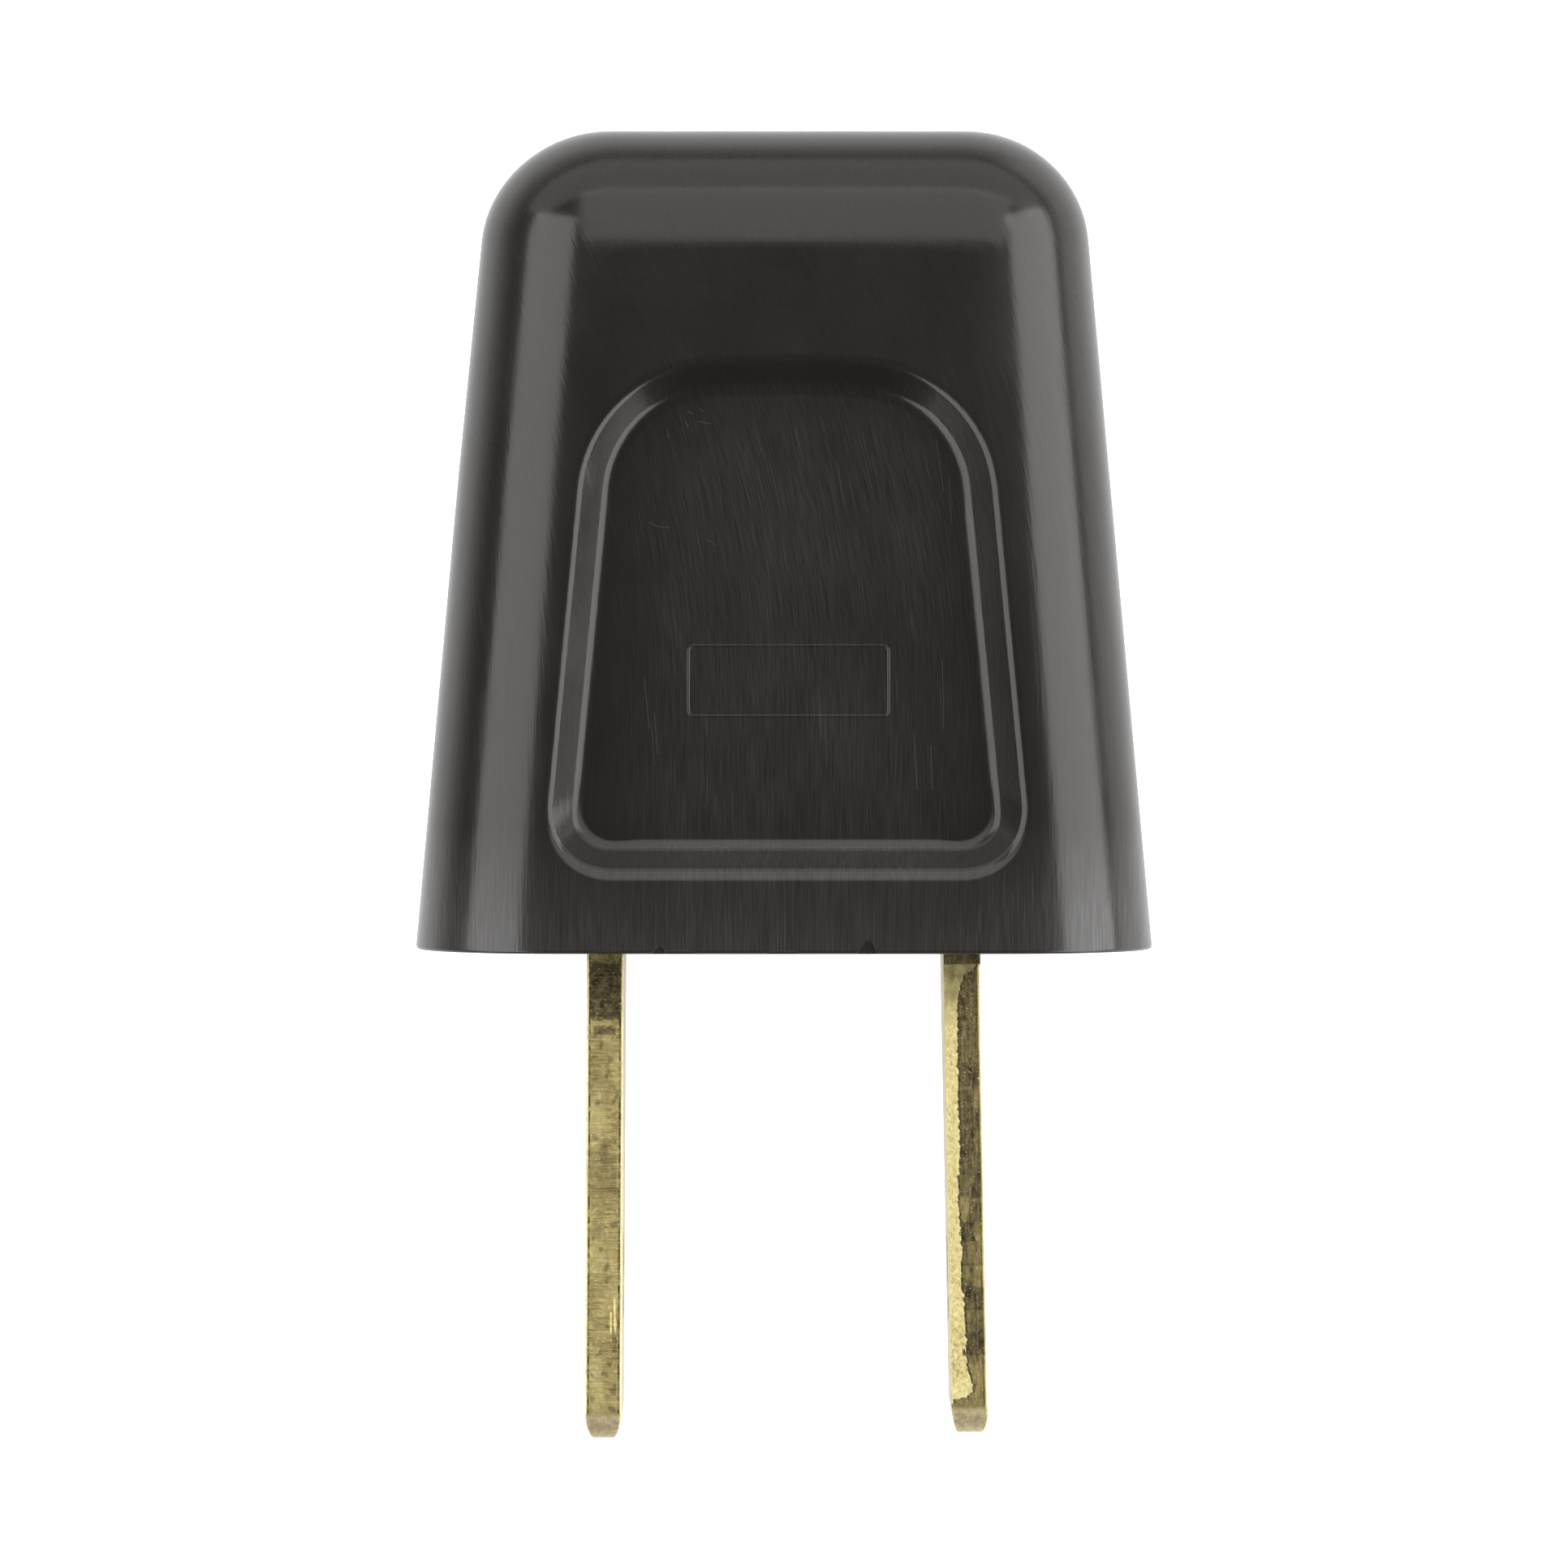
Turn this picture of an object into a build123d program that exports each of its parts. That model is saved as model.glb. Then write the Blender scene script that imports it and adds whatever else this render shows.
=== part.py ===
from build123d import *
import os
from math import cos, radians, sin

# Straight blade plug for a flat two-wire cord: a hollow moulded shell, a core that slides into its
# mouth, and two brass blades held by the core. Millimetres.
# Origin: centre of the shell's rim plane. +Y runs towards the cord end, the blades point along -Y,
# +Z is the front broad face, and the narrow blade is on the -X side. The plug lies on its back.

# Shell, outside
body_height = 29.3
rim_width = 26.45
crown_width = 21.1
body_depth = 13.5
rim_corner_radius = 5.2
crown_fillet = 4.25
crown_corner_extra = 0.4
rim_edge_radius = 0.15

# Shell, inside
side_wall = 1.6
face_wall = 2.0
crown_wall = 1.8
guide_rib_thickness = 1.5
mouth_corner_radius = 0.8
mouth_lead_in = 0.3

# Thumb recess on each broad face; it lies a little to the right of the middle
recess_depth = 1.1
back_recess_depth = 0.8
recess_shift = 0.1
recess_side_margin = 4.28
recess_foot = 2.87
recess_top = 21.07
recess_crown_rise = 0.65
recess_shoulder_radius = 4.9
recess_foot_radius = 2.2
recess_side_run = 1.03
recess_top_run = 0.92
recess_foot_run = 0.92
recess_floor_fillet = 0.7

# Slot for the flat cord, in the crown
cord_slot_width = 5.9
cord_slot_height = 3.1
cord_slot_edge_radius = 0.4

# Core
core_top = 20.0
core_recess = 0.4
core_clearance = 0.15
core_corner_radius = 0.6
blade_cover = 0.25
cord_channel_floor = 5.0
snap_rib_reach = 0.12
snap_rib_height = 1.2
snap_rib_width = 3.0
snap_rib_place = 17.5
snap_groove_margin = 0.15

# Blades
blade_spacing = 12.7
blade_thickness = 1.38
narrow_width = 6.35
wide_width = 7.92
narrow_length = 17.57
wide_length = 17.29
narrow_lean = 0.3
wide_lean = 1.1
blade_side_clearance = 0.1
blade_face_clearance = 0.05
blade_corner_radius = 1.3
tip_bevel_length = 0.7
tip_bevel_inset = 0.34
tip_bevel_radius = 0.8
tip_end_radius = 0.15
blade_hole_radius = 1.6
blade_hole_reach = 11.9
wide_shoulder_reach = 0.46
wide_shoulder_height = 2.0
ear_inset = 0.15
ear_height = 1.8
ear_top = 15.4

# Spurs that pierce the cord
spur_place = 9.5
spur_root_height = 2.2
spur_root_width = 1.2
spur_tip_size = 0.3
spur_reach = 4.3
spur_window_margin = 0.2

# Worked out from the sizes above; past is how far a cut runs on beyond what it cuts
side_taper = (rim_width - crown_width) / 2 / body_height
cavity_depth = body_depth - 2 * face_wall
cavity_top = body_height - crown_wall
core_width = blade_spacing + blade_thickness + 2 * blade_cover
core_depth = cavity_depth - 2 * core_clearance
shoulder_width = core_depth - 2 * ear_inset
mouth_width = core_width + 2 * core_clearance
rib_outer = mouth_width / 2 + guide_rib_thickness
face_height = body_depth / 2
blade_inner_face = (blade_spacing - blade_thickness) / 2
blade_slot_inner = blade_inner_face - blade_face_clearance
crown_corner_radius = crown_fillet + crown_corner_extra
past = 1.0


def cross_plane(y):
    """A plane square to the plug's axis at height y."""
    return Plane(origin=(0, y, 0), x_dir=(1, 0, 0), z_dir=(0, 1, 0))


def outer_width(y):
    """The shell's outside width at height y."""
    return rim_width - 2 * side_taper * y


def block(x_range, y_range, z_range):
    """A box between three pairs of limits."""
    limits = (x_range, y_range, z_range)
    size = [high - low for low, high in limits]
    middle = [(high + low) / 2 for low, high in limits]
    return Pos(*middle) * Box(*size)


def recess_outline(z, side_margin, foot, top, shoulder_radius, foot_radius):
    """The thumb recess's outline at height z: sides along the shell's own taper under a low arch."""
    foot_half = outer_width(foot) / 2 - side_margin
    top_half = outer_width(top) / 2 - side_margin
    arch_end = top - recess_crown_rise
    corners = [(-foot_half, foot), (foot_half, foot), (top_half, arch_end), (-top_half, arch_end)]
    edges = [
        Line(corners[0], corners[1]),
        Line(corners[1], corners[2]),
        ThreePointArc(corners[2], (0, top), corners[3]),
        Line(corners[3], corners[0]),
    ]
    outline = make_face(edges)
    upper = outline.vertices().sort_by(Axis.Y)[2:]
    outline = fillet(upper, shoulder_radius)
    lower = outline.vertices().sort_by(Axis.Y)[:2]
    outline = fillet(lower, foot_radius)
    return Pos(recess_shift, 0, z) * outline


def make_recess(depth):
    """The block of air that a thumb recess of this depth takes out of the front."""
    floor = recess_outline(
        face_height - depth,
        recess_side_margin + recess_side_run,
        recess_foot + recess_foot_run,
        recess_top - recess_top_run,
        recess_shoulder_radius - recess_side_run,
        recess_foot_radius - recess_side_run,
    )
    rim = recess_outline(
        face_height,
        recess_side_margin,
        recess_foot,
        recess_top,
        recess_shoulder_radius,
        recess_foot_radius,
    )
    air = loft([floor, rim], ruled=True)
    sealed = air.edges().group_by(Axis.Z)[0]
    return fillet(sealed, recess_floor_fillet)


def make_flats_plane(body):
    """The same solid with each flat face that the loft made as a spline made again as a plane."""
    faces = [Face(face.outer_wire()) if face.is_planar else face for face in body.faces()]
    return Solid(Shell(faces))


def make_shell_outside():
    """The tapered body, with round corners that grow towards the rim and a round crown."""
    rim = cross_plane(0) * RectangleRounded(rim_width, body_depth, rim_corner_radius)
    crown = cross_plane(body_height) * RectangleRounded(crown_width, body_depth, crown_corner_radius)
    body = make_flats_plane(loft([rim, crown], ruled=True))
    body = fillet(body.edges().group_by(Axis.Y)[-1], crown_fillet)
    return fillet(body.edges().group_by(Axis.Y)[0], rim_edge_radius)


def make_mouth():
    """The straight mouth that guides the core, and the cord chamber above it."""
    section = RectangleRounded(mouth_width, cavity_depth, mouth_corner_radius)
    flared = RectangleRounded(
        mouth_width + 2 * mouth_lead_in,
        cavity_depth + 2 * mouth_lead_in,
        mouth_corner_radius + mouth_lead_in,
    )
    lead = loft([cross_plane(0) * flared, cross_plane(mouth_lead_in) * section], ruled=True)
    return extrude(cross_plane(0) * section, cavity_top) + lead


def make_side_hollow(side):
    """The hollow between a guide rib and the shell's side, closed below the round crown."""
    outer_at_rim = rim_width / 2 - side_wall
    meet = (outer_at_rim - rib_outer) / side_taper
    outline = make_face(
        Polyline(
            (side * rib_outer, 0),
            (side * outer_at_rim, 0),
            (side * rib_outer, meet),
            close=True,
        )
    )
    air = extrude(outline, cavity_depth / 2, both=True)
    hollow_top = cavity_top - crown_fillet
    below = block((-rim_width, rim_width), (-past, hollow_top), (-body_depth, body_depth))
    return air & below


def cut_cord_slot(shell):
    """Cut the round-ended slot through the crown, and round its outer edge."""
    slot = cross_plane(cavity_top - past) * SlotOverall(cord_slot_width, cord_slot_height)
    shell -= extrude(slot, crown_wall + 2 * past)
    past_slot_x = cord_slot_width / 2 + cord_slot_edge_radius
    past_slot_z = cord_slot_height / 2 + cord_slot_edge_radius
    on_crown = shell.edges().group_by(Axis.Y)[-1]
    mouth_edges = on_crown.filter_by(
        lambda edge: abs(edge.center().X) < past_slot_x and abs(edge.center().Z) < past_slot_z
    )
    return fillet(mouth_edges, cord_slot_edge_radius)


def snap_block(side, margin):
    """The small catch on a side of the core, grown by a margin for its groove in the shell."""
    inner = core_width / 2 - past
    outer = core_width / 2 + snap_rib_reach + margin
    half_height = snap_rib_height / 2 + margin
    half_width = snap_rib_width / 2 + margin
    return block(
        sorted((side * inner, side * outer)),
        (snap_rib_place - half_height, snap_rib_place + half_height),
        (-half_width, half_width),
    )


def make_shell():
    """The moulded cap."""
    recess = make_recess(recess_depth)
    back_recess = make_recess(back_recess_depth)
    shell = cut_cord_slot(make_shell_outside())
    shell -= recess
    shell -= mirror(back_recess, Plane.XY)
    shell -= make_mouth()
    for side in (-1, 1):
        shell -= make_side_hollow(side)
        shell -= snap_block(side, core_clearance + snap_groove_margin)
    return shell


def make_spur_air(side):
    """The window through which a spur reaches the cord channel."""
    half_height = spur_root_height / 2 + spur_window_margin
    half_width = spur_root_width / 2 + spur_window_margin
    return block(
        sorted((0, side * blade_inner_face)),
        (spur_place - half_height, spur_place + half_height),
        (-half_width, half_width),
    )


def make_blade_slot(side, width):
    """The channel, open to the core's side, in which a blade lies."""
    across = sorted((side * blade_slot_inner, side * core_width))
    half_width = width / 2 + blade_side_clearance
    shank = block(across, (-past, ear_top), (-half_width, half_width))
    ears = block(
        across,
        (ear_top - ear_height - blade_side_clearance, ear_top + blade_side_clearance),
        (-core_depth, core_depth),
    )
    return shank + ears


def make_core():
    """The insulating block, with its blade channels, cord channel, spur windows and catches."""
    base = cross_plane(core_recess) * RectangleRounded(core_width, core_depth, core_corner_radius)
    core = extrude(base, core_top - core_recess)
    for side in (-1, 1):
        core += snap_block(side, 0)
    for side, width in ((-1, narrow_width), (1, wide_width)):
        core -= make_blade_slot(side, width)
        core -= make_spur_air(side)
    shoulder_half = shoulder_width / 2 + blade_side_clearance
    shoulder_top = wide_shoulder_height - wide_shoulder_reach + blade_side_clearance
    shoulder_room = (-shoulder_half, shoulder_half)
    core -= block((blade_slot_inner, core_width), (-past, shoulder_top), shoulder_room)
    channel = cross_plane(cord_channel_floor) * SlotOverall(cord_slot_width, cord_slot_height)
    core -= extrude(channel, core_top)
    return core


def blade_profile(side, length, lean):
    """The blade seen edge on: a straight tail, then the part outside, bent a little outwards."""
    centre = blade_spacing / 2
    along = (sin(radians(lean)), -cos(radians(lean)))
    across = (cos(radians(lean)), sin(radians(lean)))
    half = blade_thickness / 2
    reach = length / cos(radians(lean))

    def at(distance, offset):
        return (
            side * (centre + along[0] * distance + across[0] * offset),
            along[1] * distance + across[1] * offset,
        )

    end_half = half - tip_bevel_inset
    points = [
        (side * blade_inner_face, ear_top),
        (side * blade_inner_face, 0),
        at(reach - tip_bevel_length, -half),
        at(reach, -end_half),
        at(reach, end_half),
        at(reach - tip_bevel_length, half),
        (side * (centre + half), 0),
        (side * (centre + half), ear_top),
    ]
    outline = make_face(Polyline(*points, close=True))
    outline = fillet(outline.vertices().sort_by(Axis.Y)[2:4], tip_bevel_radius)
    return fillet(outline.vertices().sort_by(Axis.Y)[:2], tip_end_radius)


def blade_outline(width, length, shoulder):
    """The blade seen square on, with its length along the sketch's X, and its holding ears."""
    body = Pos((ear_top - length) / 2, 0) * Rectangle(ear_top + length, width)
    outline = fillet(body.vertices().sort_by(Axis.X)[:2], blade_corner_radius)
    outline += Pos(ear_top - ear_height / 2, 0) * Rectangle(ear_height, shoulder_width)
    if shoulder:
        middle = wide_shoulder_height / 2 - wide_shoulder_reach
        outline += Pos(middle, 0) * Rectangle(wide_shoulder_height, shoulder_width)
    return outline


def make_spur(side):
    """The tapered prong struck from the blade, pointing at the cord's wire."""
    start = (side * blade_inner_face, spur_place, 0)
    root_plane = Plane(origin=start, x_dir=(0, 1, 0), z_dir=(-side, 0, 0))
    root = root_plane * Rectangle(spur_root_height, spur_root_width)
    tip = root_plane.offset(spur_reach) * Rectangle(spur_tip_size, spur_tip_size)
    return loft([root, tip], ruled=True)


def make_blade(side, width, length, lean, shoulder):
    """One brass stamping: the blade, its tail, its ears and its spur."""
    edge_on = extrude(blade_profile(side, length, lean), shoulder_width, both=True)
    square_on = Plane.YZ * blade_outline(width, length, shoulder)
    blade = edge_on & extrude(square_on, side * blade_spacing)
    blade += make_spur(side)
    hole_x = side * (blade_spacing / 2 + blade_hole_reach * sin(radians(lean)))
    hole = Pos(hole_x, -blade_hole_reach, 0) * Rot(0, 0, side * lean) * Rot(0, 90, 0)
    return blade - hole * Cylinder(blade_hole_radius, 3 * blade_thickness)


parts = {
    "shell": make_shell(),
    "core": make_core(),
    "narrow_blade": make_blade(-1, narrow_width, narrow_length, narrow_lean, False),
    "wide_blade": make_blade(1, wide_width, wide_length, wide_lean, True),
}

os.makedirs("parts", exist_ok=True)
for name, piece in parts.items():
    export_step(piece, f"parts/{name}.step")
    box = piece.bounding_box()
    print(name, "volume", round(piece.volume, 1), "from", box.min, "to", box.max)
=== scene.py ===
from math import atan, atan2, copysign, cos, hypot, pi, radians, sin, sqrt, tan

import bmesh
import bpy
from mathutils import Matrix, Vector, kdtree, noise


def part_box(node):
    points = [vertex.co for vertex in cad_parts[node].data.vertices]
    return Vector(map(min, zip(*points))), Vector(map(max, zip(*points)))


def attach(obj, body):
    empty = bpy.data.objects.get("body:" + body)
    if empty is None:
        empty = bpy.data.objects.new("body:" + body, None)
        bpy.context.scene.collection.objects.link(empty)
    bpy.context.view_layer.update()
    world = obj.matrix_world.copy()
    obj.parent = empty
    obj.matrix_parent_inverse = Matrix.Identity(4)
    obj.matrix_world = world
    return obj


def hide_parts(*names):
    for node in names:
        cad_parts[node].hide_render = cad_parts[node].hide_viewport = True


# A brown moulded plug on its back on a pale floor, seen from above with soft lights on three sides.
# Sizes are in millimetres and are scaled to metres when a mesh is made. The plug's +Y is its cord end.

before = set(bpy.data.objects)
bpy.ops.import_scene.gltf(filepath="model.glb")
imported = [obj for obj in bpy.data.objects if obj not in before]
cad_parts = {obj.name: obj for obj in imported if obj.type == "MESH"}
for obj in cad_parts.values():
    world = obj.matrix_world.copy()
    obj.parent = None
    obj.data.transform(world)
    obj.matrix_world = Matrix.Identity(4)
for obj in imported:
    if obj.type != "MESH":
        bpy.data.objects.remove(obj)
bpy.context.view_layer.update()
MM = 0.001
scene = bpy.context.scene

# Shell, with its height and depth taken from the frame
shell_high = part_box("shell")[1]
HEIGHT = shell_high.y / MM
HALF_DEPTH = shell_high.z / MM
RIM_WIDTH = 26.448
CROWN_WIDTH = 21.1
RIM_CORNER = 5.2
CROWN_CORNER = 4.65
CROWN_FILLET = 4.25
RIM_EDGE = 0.15
SIDE_WALL = 1.6
FACE_WALL = 2.0
CROWN_WALL = 1.8
GUIDE_RIB = 1.5
MOUTH_CORNER = 0.8
MOUTH_LEAD_IN = 0.3
CORE_WIDTH = 14.58
CORE_CLEARANCE = 0.15
SLOT_WIDTH = 5.9
SLOT_HEIGHT = 3.1
SLOT_EDGE = 0.4
PARTING_HEIGHT = 0.029
PARTING_HALF = 0.07
PARTING_START = 0.4
PARTING_RUN = 0.8

# Wear of the shoulders: the height where it starts, and how fast it grows
LEFT_WEAR = (17, 0.0092)
LEFT_SHOULDER_WEAR = (25, 0.013)
RIGHT_SHOULDER_WEAR = (26, 0.008)

# Thumb recess
RECESS_SHIFT = 0.1
RECESS_MARGIN = 4.28
RECESS_FOOT = 2.87
RECESS_TOP = 21.07
RECESS_RISE = 0.65
RECESS_SHOULDER = 4.9
RECESS_FOOT_RADIUS = 2.2
RECESS_SIDE_RUN = 1.03
RECESS_TOP_RUN = 0.92
RECESS_FOOT_RUN = 0.92
RECESS_DEPTH = 1.1
BACK_RECESS_DEPTH = 0.8
RECESS_MIDDLE = 11.0
RIM_ROUND = 0.55
RIM_ROUND_FOOT = 0.68
FLOOR_ROUND = 0.75
FLOOR_ROUND_FOOT = 0.66

# Blades
BLADE_THICKNESS = 1.33
BLADE_CENTRE = {"narrow_blade": 6.39, "wide_blade": 6.34}
BLADE_LENGTH = {"narrow_blade": 17.57, "wide_blade": 17.29}
BLADE_WIDTH = {"narrow_blade": 6.35, "wide_blade": 7.92}
BLADE_LEAN = {"narrow_blade": 0.3, "wide_blade": 1.1}
BLADE_SIDE = {"narrow_blade": -1, "wide_blade": 1}

# Camera: the photograph's frame is 1932 pixels wide, at 34.19 pixels to the millimetre on the axis
PHOTO_SIZE = 1932
PHOTO_SCALE = 34.19
CAMERA_DISTANCE = 400.0
CAMERA_PITCH = 1.35
CAMERA_AIM = 5.88
SENSOR = 36.0

SIDE_TAPER = (RIM_WIDTH - CROWN_WIDTH) / 2 / HEIGHT
SIDE_TILT = atan(SIDE_TAPER)
FILLET_CENTRE = HEIGHT - CROWN_FILLET
CAVITY_DEPTH = HALF_DEPTH * 2 - 2 * FACE_WALL
CAVITY_TOP = HEIGHT - CROWN_WALL
MOUTH_WIDTH = CORE_WIDTH + 2 * CORE_CLEARANCE


def add_object(name, data):
    thing = bpy.data.objects.new(name, data)
    scene.collection.objects.link(thing)
    return thing


def mesh_object(name, points, faces):
    """A mesh object from points in millimetres."""
    mesh = bpy.data.meshes.new(name)
    mesh.from_pydata([Vector(p) * MM for p in points], [], faces)
    mesh.update()
    return add_object(name, mesh)


# The shell's outside is a stack of rounded rectangles, one at each height

def section(y):
    """Half width, half depth and corner radius of the shell's outside at height y."""
    touch = FILLET_CENTRE + CROWN_FILLET * sin(SIDE_TILT)
    half = RIM_WIDTH / 2 - SIDE_TAPER * min(y, touch)
    depth = HALF_DEPTH
    rise = min((y - FILLET_CENTRE) / CROWN_FILLET, 1)
    if y > touch:
        half += CROWN_FILLET * (sqrt(1 - rise * rise) - cos(SIDE_TILT))
    if rise > 0:
        depth -= CROWN_FILLET * (1 - sqrt(1 - rise * rise))
    if y < RIM_EDGE:
        inset = RIM_EDGE - sqrt(RIM_EDGE**2 - (RIM_EDGE - y) ** 2)
        half -= inset
        depth -= inset
    corner = RIM_CORNER + (CROWN_CORNER - RIM_CORNER) * y / HEIGHT - (HALF_DEPTH - depth)
    return half, depth, corner


def worn_inset(x, y):
    """How much further in than the drawn shape each side is: the left shoulder is the rounder one."""
    if x < 0:
        start, rate = LEFT_WEAR
        shoulder, growth = LEFT_SHOULDER_WEAR
        return rate * max(0, y - start) + growth * max(0, y - shoulder) ** 2
    shoulder, growth = RIGHT_SHOULDER_WEAR
    return growth * max(0, y - shoulder) ** 2


def skin_point(station, y):
    """A point of the outside: a station is its place on the flats, its direction and its ridge."""
    across, through, angle, ridge = station
    half, depth, corner = section(y)
    reach = corner + ridge * min(max(y - PARTING_START, 0) / PARTING_RUN, 1)
    x = (half - corner) * across + reach * cos(angle)
    x -= worn_inset(x, y) * max(min(x / corner, 1), -1)
    z = (depth - corner) * through + reach * sin(angle)
    return Vector((x, y, z))


def skin_normal(station, y):
    """The outside's normal there, from how the outline grows with height."""
    across, through, angle, _ = station
    if y >= HEIGHT - 1e-9:
        return Vector((0, 1, 0))
    if y <= 1e-9:
        return Vector((0, -1, 0))
    step = 1e-4
    reach = []
    for near in (max(y - step, 0), min(y + step, HEIGHT)):
        point = skin_point((across, through, angle, 0), near)
        reach.append((point.x * cos(angle) + point.z * sin(angle), near))
    slope = (reach[1][0] - reach[0][0]) / (reach[1][1] - reach[0][1])
    return Vector((cos(angle), -slope, sin(angle))).normalized()


def front_height(x, y):
    """How far the outside stands forward of the middle plane at x and y."""
    half, depth, corner = section(y)
    x += worn_inset(x, y) * max(min(x / corner, 1), -1)
    over = max(abs(x) - (half - corner), 0)
    return depth - corner + sqrt(max(corner * corner - over * over, 0))


def front_normal(x, y):
    """The outside's normal on the front, from its height."""
    step = 1e-4
    along_x = (front_height(x + step, y) - front_height(x - step, y)) / (2 * step)
    along_y = (front_height(x, y + step) - front_height(x, y - step)) / (2 * step)
    return Vector((-along_x, -along_y, 1)).normalized()


CORNER_STEPS = 18
FACE_STEPS = 48
SIDE_FLATS = (-1, -0.75, -0.5, -0.25, -0.08)


def make_stations():
    """The stations around the outline, right side first, and where the front patch starts and ends."""
    stations = []

    def corner(across, through, start):
        middle = len(stations) + CORNER_STEPS // 2
        for step in range(CORNER_STEPS):
            angle = radians(start + 90 * step / CORNER_STEPS)
            stations.append((across, through, angle, 0))
        return middle

    def side(across, direction, angle):
        half_flat = HALF_DEPTH - RIM_CORNER
        small = PARTING_HALF / half_flat
        places = list(SIDE_FLATS) + [-small, 0, small] + [-flat for flat in reversed(SIDE_FLATS)]
        for place in places[:-1]:
            ridge = PARTING_HEIGHT if place == 0 else 0
            stations.append((across, direction * place, angle, ridge))

    def face(through, direction, angle):
        for step in range(FACE_STEPS):
            stations.append((direction * (2 * step / FACE_STEPS - 1), through, angle, 0))

    side(1, 1, 0)
    front_start = corner(1, 1, 0)
    face(1, -1, pi / 2)
    front_end = corner(-1, 1, 90)
    side(-1, -1, pi)
    back_start = corner(-1, -1, 180)
    face(-1, 1, 3 * pi / 2)
    back_end = corner(1, -1, 270)
    return stations, (front_start, front_end), (back_start, back_end)


RIM_STEPS = 4
BODY_STEPS = 72
CROWN_STEPS = 18


def make_rows():
    """The heights of the rows, and the rows where the patches start and end."""
    rows = []
    for step in range(RIM_STEPS):
        rows.append(RIM_EDGE * (1 - cos(pi / 2 * step / RIM_STEPS)))
    low = len(rows)
    for step in range(BODY_STEPS + 1):
        rows.append(RIM_EDGE + (FILLET_CENTRE - RIM_EDGE) * step / BODY_STEPS)
    for step in range(1, CROWN_STEPS + 1):
        rows.append(FILLET_CENTRE + CROWN_FILLET * sin(pi / 2 * step / CROWN_STEPS))
    return rows, low, len(rows) - 1 - CROWN_STEPS // 2


def recess_outline(side_run=0.0, foot_run=0.0, top_run=0.0):
    """Points round the recess, or so far inside it, from the middle of its foot and up the right side."""
    margin = RECESS_MARGIN + side_run
    foot = RECESS_FOOT + foot_run
    top = RECESS_TOP - top_run
    shoulder = RECESS_SHOULDER - side_run
    foot_radius = RECESS_FOOT_RADIUS - side_run
    foot_half = RIM_WIDTH / 2 - SIDE_TAPER * foot - margin
    top_half = RIM_WIDTH / 2 - SIDE_TAPER * top - margin
    arch_end = top - RECESS_RISE
    along = Vector((top_half - foot_half, arch_end - foot)).normalized()
    inward = Vector((-along.y, along.x))
    start = Vector((foot_half, foot))
    crown_radius = (top_half**2 + RECESS_RISE**2) / (2 * RECESS_RISE)
    crown_centre = Vector((0, top - crown_radius))
    run = foot_radius * (1 - inward.y) / along.y
    foot_centre = start + along * run + inward * foot_radius
    base = start + inward * shoulder - crown_centre
    reach = crown_radius - shoulder
    half_b = base.dot(along)
    distance = -half_b + sqrt(half_b**2 - base.length_squared + reach**2)
    shoulder_centre = start + along * distance + inward * shoulder
    side_angle = atan2(-inward.y, -inward.x)
    crown_angle = atan2(*reversed(shoulder_centre - crown_centre))
    points = []

    def arc(centre, radius, first, last, steps):
        for step in range(steps + 1):
            angle = first + (last - first) * step / steps
            points.append(centre + radius * Vector((cos(angle), sin(angle))))

    points.append(Vector((0, foot)))
    arc(foot_centre, foot_radius, -pi / 2, side_angle, 24)
    arc(shoulder_centre, shoulder, side_angle, crown_angle, 24)
    arc(crown_centre, crown_radius, crown_angle, pi / 2, 12)
    points += [Vector((-p.x, p.y)) for p in reversed(points[1:-1])]
    return [p + Vector((RECESS_SHIFT, 0)) for p in points]


def ray_hit(points, centre, target):
    """Where the ray from the centre towards the target leaves the closed outline."""
    ray = (target - centre).normalized()
    for first, second in zip(points, points[1:] + points[:1]):
        edge = second - first
        spread = ray.x * edge.y - ray.y * edge.x
        if abs(spread) < 1e-12:
            continue
        offset = first - centre
        distance = (offset.x * edge.y - offset.y * edge.x) / spread
        share = (offset.x * ray.y - offset.y * ray.x) / spread
        if distance > 0 and -1e-9 <= share <= 1 + 1e-9:
            return centre + ray * distance
    raise ValueError("the ray misses the outline")


PATCH_RINGS = 18
ROUND_STEPS = 8
FLOOR_RINGS = (0.93, 0.8, 0.6, 0.35)


def wall_profile(run, sunk, rim_round, floor_round):
    """Steps down the wall of a recess sunk that deep: how far in from the rim, how deep, and how steep."""
    steep = atan2(sunk, run)
    steps = []
    rim_touch = rim_round * tan(steep / 2)
    for step in range(ROUND_STEPS + 1):
        angle = steep * step / ROUND_STEPS
        steps.append((rim_round * sin(angle) - rim_touch, rim_round * (1 - cos(angle)), angle))
    floor_touch = floor_round * tan(steep / 2)
    for step in range(ROUND_STEPS + 1):
        angle = steep * (1 - step / ROUND_STEPS)
        inset = run + floor_touch - floor_round * sin(angle)
        steps.append((inset, sunk - floor_round * (1 - cos(angle)), angle))
    return steps


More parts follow.
